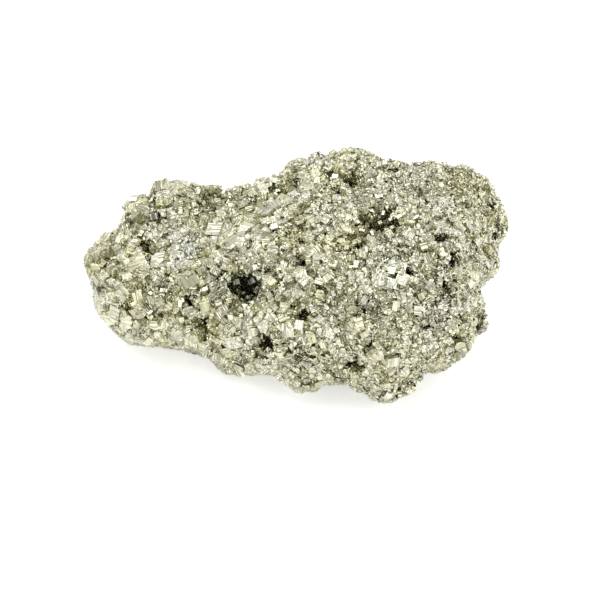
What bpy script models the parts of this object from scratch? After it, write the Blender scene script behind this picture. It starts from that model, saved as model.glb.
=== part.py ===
# A pyrite specimen: one intergrown mass of crystals, broken off flat underneath.
# Run it with: blender --background --python part.py
# Metres, +Z up. +X runs along the specimen and -Y is its front.
# The origin lies on the resting plane, under the middle of the specimen's box.

import math
import random

import bmesh
import bpy
import numpy as np
from mathutils import Euler, Vector

MM = 0.001

# The outline is given square to a line of sight this far above the horizon.
SIGHT_TILT = math.radians(38)
SIGHT_UP = Vector((0, math.sin(SIGHT_TILT), math.cos(SIGHT_TILT)))
TO_EYE = Vector((0, -math.cos(SIGHT_TILT), math.sin(SIGHT_TILT)))

# Stations along the specimen, in mm: x, the upper and the lower edge of the outline
# as heights along SIGHT_UP, and how far the underside stands over the resting plane.
# A negative height is material that the break takes away.
STATIONS = [
    (-40.4, 4.0, -0.6, 9.5),
    (-38.8, 6.8, -5.0, 6.0),
    (-35.6, 8.6, -10.4, 3.2),
    (-31.0, 12.6, -13.8, 1.4),
    (-25.5, 16.8, -14.4, 0.6),
    (-19.5, 18.0, -15.0, 0.2),
    (-13.0, 15.2, -17.0, -0.6),
    (-6.0, 17.2, -19.4, -0.8),
    (0.5, 19.6, -20.4, -0.8),
    (7.0, 22.2, -20.4, -0.8),
    (14.0, 22.8, -22.2, -1.0),
    (21.0, 21.2, -21.4, -0.6),
    (27.5, 21.2, -17.8, 0.2),
    (32.5, 20.6, -13.8, 1.8),
    (36.8, 18.0, -5.0, 5.0),
    (39.6, 13.0, 3.0, 9.0),
    (40.4, 9.0, 7.4, 12.0),
]
HEIGHT_TO_DEPTH = 0.62  # of a section across the specimen
SQUARENESS = 2.4  # superellipse exponent of a section: 2 is an ellipse
RINGS = 46
SEGMENTS = 56

# Grown lumps and hollows all over the mass: (pitch, depth) in mm.
LUMPS = [(12.0, 1.6), (5.5, 1.0)]

# Knobs, notches and hollows of the mass, in mm: x, height along SIGHT_UP, radius, and
# how far the surface there moves along X, along SIGHT_UP and towards the eye.
BULGES = [
    (-38.5, 1.5, 4.5, -1.0, 0.3, 0.0),
    (-37.5, -3.0, 3.0, 0.8, 0.6, 0.0),
    (-30.6, 12.4, 4.0, -0.4, 1.0, 0.0),
    (-23.0, 17.0, 4.5, 0.0, 1.4, 0.0),
    (-22.0, -15.0, 6.0, 0.0, 0.8, 0.0),
    (-19.0, 4.0, 7.0, 0.0, 0.0, 1.6),
    (-16.0, 16.8, 3.5, 0.0, -2.2, 0.0),
    (-12.8, -17.8, 3.5, 0.0, -1.8, 0.0),
    (-10.0, 16.0, 5.0, 0.0, 1.8, 0.0),
    (-8.2, -2.6, 5.0, 0.0, 0.0, -2.4),
    (2.2, -21.6, 3.4, 0.0, -2.8, 0.0),
    (10.6, 22.2, 7.0, 0.0, 3.0, 0.0),
    (15.0, 8.4, 6.0, 0.0, 0.0, -1.8),
    (17.0, -23.0, 4.0, 0.0, -1.2, 0.0),
    (25.4, -19.4, 3.6, 0.0, 3.4, 0.0),
    (29.5, -17.0, 3.5, 0.4, -1.4, 0.0),
    (29.0, -8.0, 7.0, 0.0, 0.0, 1.4),
    (34.0, 20.0, 5.0, 0.4, 1.4, 0.0),
    (36.4, -9.5, 4.4, 0.4, -0.8, 0.0),
    (37.2, -3.5, 4.4, -3.0, 0.4, 0.0),
]

# Open vugs: x, height along SIGHT_UP, half width, half height, depth, in mm.
VUGS = [
    (-9.2, -2.6, 3.2, 2.3, 4.5),
    (15.8, 9.4, 3.6, 2.0, 3.2),
    (10.9, 17.0, 1.7, 1.3, 2.4),
    (-5.2, -12.9, 1.2, 1.6, 2.6),
    (-28.0, 5.0, 1.4, 1.7, 2.6),
    (-19.6, -5.2, 1.1, 1.7, 2.4),
    (29.0, 2.6, 1.7, 1.9, 2.6),
    (21.3, 0.2, 1.5, 1.3, 2.4),
    (10.8, -17.6, 1.6, 1.5, 2.4),
]

# Crystals that stand proud on the front: x, height along SIGHT_UP, edge, in mm.
FRONT_CRYSTALS = [
    (-30.9, 13.0, 2.7),
    (-38.6, 2.0, 3.0),
    (-35.4, 4.0, 3.2),
    (-24.3, 13.6, 2.3),
    (-27.1, 8.3, 2.3),
    (-16.9, 5.0, 2.4),
    (-25.7, -0.5, 2.7),
    (-29.4, -6.6, 2.3),
    (-26.4, -9.3, 2.5),
    (-17.4, -5.2, 2.9),
    (-18.9, -11.9, 2.6),
    (-4.1, -1.8, 2.4),
    (-0.3, -10.2, 2.8),
    (11.7, -9.3, 2.7),
    (7.2, 1.6, 2.1),
    (24.2, 5.0, 2.3),
    (19.7, 11.4, 2.2),
    (36.2, 5.6, 2.6),
    (35.4, -10.5, 2.8),
    (30.7, -12.9, 2.4),
    (-0.5, -19.1, 2.9),
    (20.7, -21.0, 2.4),
    (-8.9, 16.4, 2.6),
    (15.6, 15.7, 2.2),
]
OTHER_CRYSTALS = 44  # over the rest of the mass
OTHER_EDGES = (2.0, 3.0)
STANDS_PROUD = 0.05  # how far a crystal's middle is over the surface, of its edge
SEED = 24

BREAK_REACH = 200  # of the box that cuts the flat break, in mm


def remove_everything():
    for obj in list(bpy.data.objects):
        bpy.data.objects.remove(obj)


def new_collection(name):
    collection = bpy.data.collections.new(name)
    bpy.context.scene.collection.children.link(collection)
    return collection


def make_helper(obj, name, collection):
    """Names a helper, which shapes the specimen and isn't part of it."""
    for holder in list(obj.users_collection):
        holder.objects.unlink(obj)
    collection.objects.link(obj)
    obj.name = name
    obj.hide_render = True
    obj.display_type = "WIRE"


def station_values(along):
    """The stations' four values at along, 0 at the left end and 1 at the right.

    Catmull-Rom: the curve passes through every station and is smooth there.
    """
    table = np.array(STATIONS)
    at = np.clip(along, 0, 1) * (len(table) - 1)
    first = np.minimum(at.astype(int), len(table) - 2)
    part = (at - first)[:, None]
    before, start, end, after = (
        table[np.clip(first + step, 0, len(table) - 1)] for step in (-1, 0, 1, 2)
    )
    return 0.5 * (
        2 * start
        + (end - before) * part
        + (2 * before - 5 * start + 4 * end - after) * part**2
        + (3 * start - before - 3 * end + after) * part**3
    )


def section(along):
    """x, middle y, middle z, half depth and half height of the section there, in mm.

    The half depth is what makes the section as tall, seen along the line of sight,
    as the outline. Its middle then lies on the outline's middle line.
    """
    x, top, bottom, clearance = station_values(along).T
    power = SQUARENESS / (SQUARENESS - 1)
    seen_depth = math.sin(SIGHT_TILT)
    seen_height = math.cos(SIGHT_TILT) * HEIGHT_TO_DEPTH
    reach = (seen_depth**power + seen_height**power) ** (1 / power)
    # The mass narrows to nothing at its two ends.
    closing = np.clip(np.minimum(along, 1 - along) * 2 * len(STATIONS), 0, 1) ** 0.5
    half_depth = (top - bottom) / 2 / reach * closing
    half_height = half_depth * HEIGHT_TO_DEPTH
    z = half_height + clearance
    y = ((top + bottom) / 2 - math.cos(SIGHT_TILT) * z) / math.sin(SIGHT_TILT)
    return x, y, z, half_depth, half_height


def surface_points(along, turn):
    """Points on the smooth mass, in mm. turn is the angle in a section, from +Y."""
    x, y, z, half_depth, half_height = section(along)
    cosine, sine = np.cos(turn), np.sin(turn)
    y = y + half_depth * np.sign(cosine) * np.abs(cosine) ** (2 / SQUARENESS)
    z = z + half_height * np.sign(sine) * np.abs(sine) ** (2 / SQUARENESS)
    return np.stack([x, y, z], axis=1)


def place_and_normal(along, turn):
    """A point of the smooth mass, in mm, and the outward direction there."""
    step = 1e-3
    alongs = np.array([along, along + step, along - step, along, along])
    turns = np.array([turn, turn, turn, turn + step, turn - step])
    here, ahead, behind, left, right = (
        Vector(p) for p in surface_points(alongs, turns)
    )
    return here, (ahead - behind).cross(left - right).normalized()


def front_place(x, height):
    """The place seen at x and height along SIGHT_UP, with its normal."""
    steps = np.linspace(0.01, 0.99, 2001)
    along = np.interp(x, section(steps)[0], steps)
    turn = np.linspace(-math.pi, math.pi, 1441)
    ring = surface_points(np.full(len(turn), along), turn)
    miss = np.abs(ring @ np.array(SIGHT_UP) - height)
    towards = ring @ np.array(TO_EYE)
    seen = towards > (towards.min() + towards.max()) / 2
    return place_and_normal(along, turn[np.argmin(np.where(seen, miss, np.inf))])


def lattice_noise(points, pitch, seed):
    """Smooth noise from -1 to 1: random values on a cubic lattice, blended between."""
    places = points / pitch
    cells = np.floor(places).astype(np.int64)
    part = places - cells
    part = part * part * (3 - 2 * part)
    total = np.zeros(len(points))
    for corner in np.ndindex(2, 2, 2):
        at = cells + corner
        mixed = at[:, 0] * 73856093 ^ at[:, 1] * 19349663 ^ at[:, 2] * 83492791
        mixed = (mixed + seed * 2654435) & 0xFFFFFF
        mixed = (mixed * 1103515 + 12345) & 0xFFFFFF
        weight = np.prod(np.where(corner, part, 1 - part), axis=1)
        total += weight * (mixed / 0x7FFFFF - 1)
    return total


def bulge(points):
    """The bulges' places and shifts, each shift fading out with a Gaussian."""
    shifts = np.zeros_like(points)
    for x, height, radius, along_x, up, near in BULGES:
        away = np.linalg.norm(points - np.array(front_place(x, height)[0]), axis=1)
        shift = Vector((along_x, 0, 0)) + SIGHT_UP * up + TO_EYE * near
        shifts += np.exp(-((away / radius) ** 2))[:, None] * np.array(shift)
    return points + shifts


def grown(points, normals):
    """Where points of the smooth mass end up, with its lumps and bulges."""
    push = sum(
        depth * lattice_noise(points, pitch, seed)
        for seed, (pitch, depth) in enumerate(LUMPS)
    )
    return bulge(points + normals * push[:, None])


def build_mass(collection):
    """A UV sphere with its poles on X, each vertex moved to its place in a section."""
    bm = bmesh.new()
    bmesh.ops.create_uvsphere(bm, u_segments=SEGMENTS, v_segments=RINGS, radius=1)
    sphere = np.array([v.co for v in bm.verts])
    along = 1 - np.arccos(np.clip(sphere[:, 2], -1, 1)) / math.pi
    turn = np.arctan2(sphere[:, 1], sphere[:, 0])
    places = surface_points(along, turn)
    for vert, place in zip(bm.verts, places):
        vert.co = place * MM
    bmesh.ops.recalc_face_normals(bm, faces=bm.faces)
    bm.normal_update()
    normals = np.array([v.normal for v in bm.verts])
    for vert, place in zip(bm.verts, grown(places, normals)):
        vert.co = place * MM
    mesh = bpy.data.meshes.new("pyrite_cluster")
    bm.to_mesh(mesh)
    bm.free()
    mass = bpy.data.objects.new("pyrite_cluster", mesh)
    collection.objects.link(mass)
    return mass


def grown_place(place, normal):
    return Vector(grown(np.array([place]), np.array([normal]))[0])


def add_crystal(collection, place, normal, edge, source):
    """A cube of that edge, turned at random, half sunk in the mass."""
    middle = place + normal * edge * STANDS_PROUD
    bpy.ops.mesh.primitive_cube_add(size=edge * MM, location=middle * MM)
    cube = bpy.context.active_object
    cube.rotation_euler = Euler([source.uniform(0, math.pi) for _ in range(3)])
    make_helper(cube, "crystal", collection)


def add_crystals(collection):
    source = random.Random(SEED)
    spots = [(*front_place(x, height), edge) for x, height, edge in FRONT_CRYSTALS]
    for _ in range(OTHER_CRYSTALS):
        turn = source.uniform(0.05, 0.85) * math.pi
        spot = place_and_normal(source.uniform(0.1, 0.9), turn)
        spots.append((*spot, source.uniform(*OTHER_EDGES)))
    for place, normal, edge in spots:
        add_crystal(collection, grown_place(place, normal), normal, edge, source)


def add_vugs(collection):
    """Rough ellipsoids along the line of sight, which the vugs are cut with."""
    for x, height, half_width, half_height, depth in VUGS:
        place = grown_place(*front_place(x, height))
        bpy.ops.mesh.primitive_ico_sphere_add(
            subdivisions=2, radius=MM, location=place * MM
        )
        cutter = bpy.context.active_object
        cutter.scale = (half_width, half_height, depth)
        cutter.rotation_euler = Euler((math.pi / 2 - SIGHT_TILT, 0, 0))
        make_helper(cutter, "vug", collection)


def add_break(collection):
    """A box of everything under the resting plane."""
    size = BREAK_REACH * MM
    bpy.ops.mesh.primitive_cube_add(size=size, location=(0, 0, -size / 2))
    make_helper(bpy.context.active_object, "break", collection)


def join_or_cut(mass, operation, helpers):
    modifier = mass.modifiers.new(helpers.name, "BOOLEAN")
    modifier.operation = operation
    modifier.solver = "EXACT"
    modifier.operand_type = "COLLECTION"
    modifier.collection = helpers


def pyrite_material():
    material = bpy.data.materials.new("pyrite")
    material.use_nodes = True
    shader = material.node_tree.nodes["Principled BSDF"]
    shader.inputs["Base Color"].default_value = (0.62, 0.58, 0.42, 1)
    shader.inputs["Metallic"].default_value = 1.0
    shader.inputs["Roughness"].default_value = 0.3
    return material


def apply_and_centre(mass):
    """Applies the modifiers and puts the origin under the middle of the box."""
    bpy.context.view_layer.update()
    graph = bpy.context.evaluated_depsgraph_get()
    mesh = bpy.data.meshes.new_from_object(mass.evaluated_get(graph))
    mass.modifiers.clear()
    mass.data = mesh
    corners = np.array([v.co for v in mesh.vertices])
    low, high = corners.min(axis=0), corners.max(axis=0)
    middle = (low + high) / 2
    shift = Vector((-middle[0], -middle[1], -low[2]))
    for vertex in mesh.vertices:
        vertex.co += shift
    print("moved by, in mm:", [round(s / MM, 3) for s in shift])


def main():
    remove_everything()
    specimen = new_collection("pyrite_specimen")
    crystals = new_collection("joined_crystals")
    vugs = new_collection("vug_cutters")
    under = new_collection("break_cutter")
    mass = build_mass(specimen)
    add_vugs(vugs)
    add_crystals(crystals)
    add_break(under)
    join_or_cut(mass, "DIFFERENCE", vugs)
    join_or_cut(mass, "UNION", crystals)
    join_or_cut(mass, "DIFFERENCE", under)
    apply_and_centre(mass)
    mass.data.materials.clear()
    mass.data.materials.append(pyrite_material())


main()
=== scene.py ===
import math

import bmesh
import bpy
import numpy as np
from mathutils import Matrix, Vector
from mathutils.bvhtree import BVHTree


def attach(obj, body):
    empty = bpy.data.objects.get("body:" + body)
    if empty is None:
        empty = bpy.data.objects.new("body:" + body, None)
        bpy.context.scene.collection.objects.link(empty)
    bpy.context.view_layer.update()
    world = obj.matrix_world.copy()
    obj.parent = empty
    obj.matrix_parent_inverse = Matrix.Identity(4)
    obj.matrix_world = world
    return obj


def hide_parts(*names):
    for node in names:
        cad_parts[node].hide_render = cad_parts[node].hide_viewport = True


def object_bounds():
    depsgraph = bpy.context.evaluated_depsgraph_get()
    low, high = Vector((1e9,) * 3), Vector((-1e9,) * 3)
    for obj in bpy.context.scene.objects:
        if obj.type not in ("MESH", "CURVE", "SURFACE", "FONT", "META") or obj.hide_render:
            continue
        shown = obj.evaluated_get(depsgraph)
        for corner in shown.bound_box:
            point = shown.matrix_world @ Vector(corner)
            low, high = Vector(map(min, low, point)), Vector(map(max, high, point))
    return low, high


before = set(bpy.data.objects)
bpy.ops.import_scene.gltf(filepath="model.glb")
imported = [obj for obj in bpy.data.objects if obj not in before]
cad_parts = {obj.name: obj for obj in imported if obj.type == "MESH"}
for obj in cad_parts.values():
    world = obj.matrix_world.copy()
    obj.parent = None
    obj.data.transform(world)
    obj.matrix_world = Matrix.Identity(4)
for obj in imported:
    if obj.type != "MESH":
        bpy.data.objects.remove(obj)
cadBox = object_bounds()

mm = 0.001
seed = 7
scene = bpy.context.scene
print("frame loaded:", sorted(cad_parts))


# The camera, in metres and degrees, and pixels of its square frame.
view = {
    "elevation": 38.0,
    "distance": 0.70,       # a long lens from well back
    "frameWidth": 0.1124,   # the width that the frame takes in at the specimen
    "aimRight": 0.00073,    # the frame's middle from the middle of the CAD box
    "aimDown": 0.00658,
    "sensor": 36.0,
    "pixels": 600,
}

tilt = math.radians(view["elevation"])
toEye = np.array([0.0, -math.cos(tilt), math.sin(tilt)])
viewUp = np.array([0.0, math.sin(tilt), math.cos(tilt)])
viewRight = np.array([1.0, 0.0, 0.0])
boxMiddle = (np.array(cadBox[0]) + np.array(cadBox[1])) / 2
aim = boxMiddle + view["aimRight"] * viewRight - view["aimDown"] * viewUp
eye = aim + view["distance"] * toEye
pixelStep = view["frameWidth"] / view["pixels"]


def makeCamera():
    # Lens length = sensor x distance / width that the frame takes in.
    data = bpy.data.cameras.new("camera")
    data.sensor_width = view["sensor"]
    data.lens = view["sensor"] * view["distance"] / view["frameWidth"]
    data.clip_start = 0.05
    data.clip_end = 20
    camera = bpy.data.objects.new("camera", data)
    scene.collection.objects.link(camera)
    camera.location = eye
    camera.rotation_mode = "QUATERNION"
    camera.rotation_quaternion = Vector(-toEye).to_track_quat("-Z", "Y")
    scene.camera = camera


def pixelRay(across, down):
    # From the eye through a pixel: the frame's middle is the aim.
    half = view["pixels"] / 2
    point = aim + viewRight * (across - half) * pixelStep + viewUp * (half - down) * pixelStep
    ray = point - eye
    return ray / np.linalg.norm(ray)


def toPixels(points):
    # Pixel = middle + offset in the view plane, scaled by distance over depth.
    offset = points - eye
    scale = view["distance"] / -(offset @ toEye) / pixelStep
    half = view["pixels"] / 2
    return half + (offset @ viewRight) * scale, half - (offset @ viewUp) * scale


makeCamera()
print("camera set")


# The floor and the light, in metres.
studio = {
    "floorSize": 8.0,
    "floorColour": (0.90, 0.90, 0.90, 1),
    "floorRough": 0.8,
    "floorShine": 0.1,
    "floorGlow": (0.24, 0.53),      # the floor's own light: to the crystals, and to the eye
    "sky": (0.67, 1.28),            # dimmest and brightest of the light all round
    "skyPatches": 2.2,              # how small its bright and dim patches are
    "front": 0.50,                  # share of it that comes from behind the camera
    "frontAngles": (0.80, 0.97),    # cosines of the angles between which it falls to that
    "backdrop": 1.0,
    "lamps": [
        # name, place, size, brightness of its face
        ("topBox", (-0.20, 0.25, 1.10), 0.60, 1.7),
        ("keyLamp", (-0.45, -0.35, 0.95), 0.14, 4.5),
        ("leftBox", (-1.00, -0.20, 0.65), 0.40, 1.5),
        ("rightBox", (1.00, -0.10, 0.65), 0.70, 1.7),
        ("leftFront", (-0.75, -0.95, 0.40), 0.35, 1.6),
        ("rightFront", (0.70, -0.90, 0.75), 0.35, 1.8),
        ("leftBack", (-0.70, 0.80, 0.55), 0.40, 1.6),
        ("rightBack", (0.75, 0.85, 0.60), 0.40, 1.6),
    ],
}


def hashed(cells, key):
    # The whole numbers of a lattice cell, times a large prime each and joined bit by bit,
    # then multiplied and shifted within 24 bits and scaled to 0..1.
    bits = cells[:, 0] * 73856093 ^ cells[:, 1] * 19349663 ^ cells[:, 2] * 83492791
    bits = (bits + key * 2654435) & 0xFFFFFF
    bits = (bits * 1103515 + 12345) & 0xFFFFFF
    bits = (bits ^ (bits >> 11)) * 69069 & 0xFFFFFF
    bits = (bits ^ (bits >> 9)) * 40503 & 0xFFFFFF
    return bits / 0xFFFFFF


def valueNoise(points, pitch, key):
    # Random values -1..1 on a cubic lattice of that pitch, blended with 3t^2 - 2t^3. Another
    # key gives another pattern.
    places = points / pitch
    cells = np.floor(places).astype(np.int64)
    part = places - cells
    part = part * part * (3 - 2 * part)
    total = np.zeros(len(points))
    for corner in np.ndindex(2, 2, 2):
        weight = np.prod(np.where(corner, part, 1 - part), axis=1)
        total += weight * (hashed(cells + corner, key) * 2 - 1)
    return total


def nearestCell(points, pitch, key):
    # One jittered seed in each cubic cell; each point finds the nearest of 27.
    places = points / pitch
    home = np.floor(places).astype(np.int64)
    best = np.full(len(points), 1e9)
    cell = home.copy()
    toSeed = np.zeros_like(places)
    for step in np.ndindex(3, 3, 3):
        at = home + np.array(step) - 1
        seedPlace = at + np.stack([hashed(at, key + k) for k in range(3)], axis=1)
        offset = seedPlace - places
        far = (offset**2).sum(axis=1)
        closer = far < best
        best = np.where(closer, far, best)
        cell[closer] = at[closer]
        toSeed[closer] = offset[closer]
    return cell, toSeed * pitch


def smoothStep(low, high, value):
    # 3t^2 - 2t^3, with t the share of the way from low to high.
    t = np.clip((value - low) / (high - low), 0, 1)
    return t * t * (3 - 2 * t)


def turnsFrom(q):
    # Rotation matrices of quaternions (w, x, y, z).
    w, x, y, z = (q / np.linalg.norm(q, axis=1)[:, None]).T
    rows = [
        [1 - 2 * (y * y + z * z), 2 * (x * y - z * w), 2 * (x * z + y * w)],
        [2 * (x * y + z * w), 1 - 2 * (x * x + z * z), 2 * (y * z - x * w)],
        [2 * (x * z - y * w), 2 * (y * z + x * w), 1 - 2 * (x * x + y * y)],
    ]
    return np.array(rows).transpose(2, 0, 1)


def cellTurns(cells, key):
    # The same random turn for everything in a cell: a normal quaternion by Box-Muller.
    u = np.stack([hashed(cells, key + k) for k in range(8)], axis=1)
    return np.sqrt(-2 * np.log(u[:, :4] + 1e-9)) * np.cos(2 * np.pi * u[:, 4:])


def meshArrays(mesh):
    # The places of a mesh's vertices and their normals.
    places = np.empty(len(mesh.vertices) * 3, np.float32)
    mesh.vertices.foreach_get("co", places)
    normals = np.empty(len(mesh.vertices) * 3, np.float32)
    mesh.vertices.foreach_get("normal", normals)
    return places.reshape(-1, 3).astype(float), normals.reshape(-1, 3).astype(float)


# The ground: the mass's own surface under and between the crystals.
ground = {
    "voxel": 0.45 * mm,
    "stillBelow": 1.5 * mm,     # nothing moves at the flat break, and all of it from here up
    # pitch, height on the front, height on the other sides
    "swells": [(11 * mm, 0.3 * mm, 2.2 * mm), (5.5 * mm, 0.5 * mm, 1.2 * mm)],
    "swellAbove": 5.0 * mm,     # where the swells reach their full height
    "lumps": [(2.4 * mm, 0.30 * mm), (1.1 * mm, 0.16 * mm)],
    "facetPitch": 1.7 * mm,
    "facetTilt": 0.35,
    "pitPitch": 2.6 * mm,
    "pitDepth": 2.8 * mm,
    "pitNoise": (0.50, 0.85),   # noise above this sinks into a pit, and above that to its bottom
    "pitRagged": (0.25, 0.9 * mm),      # how strong the finer noise in it is, and its pitch
    "fewerPits": 0.12,          # on the side that has the named vugs
    "vugWall": 1.8,             # steepness of the vugs' walls
    "vugRims": [(4.0, 1.6 * mm), (3.5, 0.8 * mm)],  # pixels that their rims wander, and the pitch
    "sunk": 0.80 * mm,          # the crystals stand on it and reach the outline
    "edgeMargin": -1.2,         # pixels by which they pass the skin
    "edgeMoves": (-9, 16),      # pixels in and out that the edge may move to its outline
    "edgeFrom": 0.75,           # share of the radius from which it moves
    "edgeLow": (4 * mm, 1 * mm),    # heights between which it starts to move along the floor
    "edgeBins": 300,
}

# Open vugs: pixel across, pixel down, half width and half height in pixels, depth in mm.
vugs = [
    (231, 279, 13, 8, 3.7), (249, 281, 16, 11, 4), (262, 275, 9, 10, 3.6), (245, 292, 14, 9, 3.8),
    (225, 276, 7, 6, 3.4), (235, 307, 8, 13, 2.4), (303, 261, 12, 7, 4.4), (345, 248, 8, 5, 3.4),
    (358, 245, 8, 5, 3.4), (364, 233, 12, 6, 2.8), (386, 211, 8, 5, 2), (377, 222, 8, 6, 1.9),
    (393, 221, 6, 5, 1.8), (360, 218, 6, 5, 1.6), (342, 249, 7, 4, 2.6), (348, 181, 8, 6, 2.4),
    (357, 188, 8, 5, 2), (146, 247, 8, 9, 3), (107, 270, 6, 6, 2.6), (169, 277, 6, 6, 2.4),
    (191, 301, 6, 12, 3.6), (203, 322, 5, 10, 2), (266, 342, 9, 12, 3), (303, 316, 9, 5, 3),
    (317, 281, 6, 6, 2.6), (314, 357, 6, 4, 1.8), (353, 366, 11, 8, 2.3), (408, 273, 9, 6, 3),
    (453, 258, 8, 5, 3.2), (443, 268, 4, 12, 3), (450, 282, 8, 5, 2.8), (411, 301, 13, 5, 3.4),
    (429, 323, 6, 5, 2.6), (462, 322, 5, 8, 2.8), (369, 349, 9, 5, 2.8), (366, 309, 6, 6, 2.4),
    (444, 237, 6, 8, 2.8), (493, 205, 6, 6, 2.4), (394, 168, 6, 4, 1.8), (498, 238, 5, 8, 2.4),
    (286, 182, 13, 5, 1.8), (300, 222, 6, 6, 2), (330, 206, 6, 5, 1.6),
]

# The outline that the crystals reach, in pixels, clockwise from the left end.
outline = [
    (84, 261), (87, 250), (96, 239), (101, 233), (117, 229), (121, 219), (126, 214), (124, 205),
    (127, 196), (142, 195), (151, 193), (155, 182), (168, 178), (182, 181), (195, 183), (203, 186),
    (217, 185), (228, 188), (236, 186), (251, 181), (263, 178), (282, 173), (289, 160), (304, 158),
    (317, 152), (325, 153), (340, 148), (357, 145), (364, 150), (380, 157), (395, 161), (420, 161),
    (441, 161), (455, 164), (464, 163), (474, 170), (488, 178), (497, 195), (505, 209), (508, 220),
    (507, 232), (502, 243), (497, 252), (500, 272), (485, 284), (479, 290), (485, 304), (485, 318),
    (489, 328), (478, 338), (472, 343), (470, 350), (455, 365), (438, 373), (425, 373), (421, 383),
    (412, 392), (395, 400), (386, 404), (373, 404), (370, 397), (354, 392), (345, 384), (335, 384),
    (322, 385), (317, 390), (306, 394), (292, 390), (285, 383), (275, 378), (272, 374), (257, 374),
    (247, 376), (230, 375), (220, 371), (213, 360), (203, 356), (182, 350), (168, 348), (152, 347),
    (131, 345), (111, 330), (96, 311), (91, 284),
]


def roundMiddle(places):
    # Angle and radius in pixels of each place round the outline's middle.
    across, down = toPixels(places)
    up, right = outlineMiddle[1] - down, across - outlineMiddle[0]
    return np.arctan2(up, right), np.hypot(right, up)


def outlineByAngle():
    # The outline walked in many short steps: angle and radius of each round its middle.
    ends = np.array(outline + outline[:1], float)
    steps = np.linspace(0, len(outline), 4000, endpoint=False)
    edge = np.stack([np.interp(steps, np.arange(len(ends)), ends[:, k]) for k in (0, 1)], axis=1)
    angle = np.arctan2(outlineMiddle[1] - edge[:, 1], edge[:, 0] - outlineMiddle[0])
    order = np.argsort(angle)
    return angle[order], np.hypot(*(edge - outlineMiddle).T)[order]


outlineMiddle = np.mean(outline, axis=0)
outlineAngles, outlineRadii = outlineByAngle()


def wantedRadius(angle):
    # The outline's radius in pixels at that angle.
    return np.interp(angle, outlineAngles, outlineRadii, period=2 * np.pi)


def inView(angle, amount):
    # A move in the view plane: right x cos(angle) + up x sin(angle), times that many pixels.
    towards = viewRight * np.cos(angle)[:, None] + viewUp * np.sin(angle)[:, None]
    return towards * (amount * pixelStep)[:, None]


def mergedCopy(node):
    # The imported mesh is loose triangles, so its corners are joined first.
    mesh = node.data.copy()
    work = bmesh.new()
    work.from_mesh(mesh)
    bmesh.ops.remove_doubles(work, verts=work.verts, dist=1e-6)
    work.to_mesh(mesh)
    work.free()
    mesh.materials.clear()
    return mesh


def vugReach(points, normals):
    # For each vug, (x/a)^2 + (y/b)^2 of its ellipse with a ragged rim, and its depth. Where
    # the skin faces away from the eye, the first is over 9 and so far outside.
    across, down = toPixels(points)
    for (wander, pitch), key in zip(ground["vugRims"], (45, 43)):
        across = across + wander * valueNoise(points, pitch, key)
        down = down + wander * valueNoise(points, pitch, key + 1)
    away = 9 * smoothStep(0.25, 0.0, normals @ toEye)
    for x, y, halfWidth, halfHeight, deep in vugs:
        yield ((across - x) / halfWidth) ** 2 + ((down - y) / halfHeight) ** 2 + away, deep


def pitShare(points, normals):
    # Small pits all round, fewer where the named vugs are and none at the outline: a smooth
    # step of noise, 0 outside a pit and 1 at its bottom.
    share, pitch = ground["pitRagged"]
    noise = valueNoise(points, ground["pitPitch"], 31) + share * valueNoise(points, pitch, 32)
    angle, radius = roundMiddle(points)
    inside = smoothStep(1.0, 0.9, radius / wantedRadius(angle))
    return inside * smoothStep(*ground["pitNoise"], noise - ground["fewerPits"] * (normals @ toEye > 0.1))


def reachOutline(places):
    # Moves what is near the outline in the view plane, so that it meets the wanted
    # outline: shift = (wanted radius - own radius) x s(r / own radius), by angle.
    angle, radius = roundMiddle(places)
    bins = ground["edgeBins"]
    slot = ((angle / (2 * np.pi) + 0.5) * bins).astype(int) % bins
    own = np.zeros(bins)
    np.maximum.at(own, slot, radius)
    centres = (np.arange(bins) + 0.5) / bins * 2 * np.pi - np.pi
    # The larger crystals on the left stand further out of the skin.
    margin = ground["edgeMargin"] - np.cos(centres)
    change = np.clip(wantedRadius(centres) - margin - own, *ground["edgeMoves"])
    change = (np.roll(change, 1) + 2 * change + np.roll(change, -1)) / 4
    shift = np.interp(angle, centres, change, period=2 * np.pi) * pixelStep
    shift *= smoothStep(ground["edgeFrom"], 1.0, radius / np.interp(angle, centres, own, period=2 * np.pi))
    # Low down, a shift down the view goes along the floor and not into it.
    low = smoothStep(*ground["edgeLow"], places[:, 2])[:, None]
    upward = viewUp * (1 - low) + np.array([0.0, 1 / viewUp[1], 0.0]) * low
    return (viewRight * np.cos(angle)[:, None] + upward * np.sin(angle)[:, None]) * shift[:, None]


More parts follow.
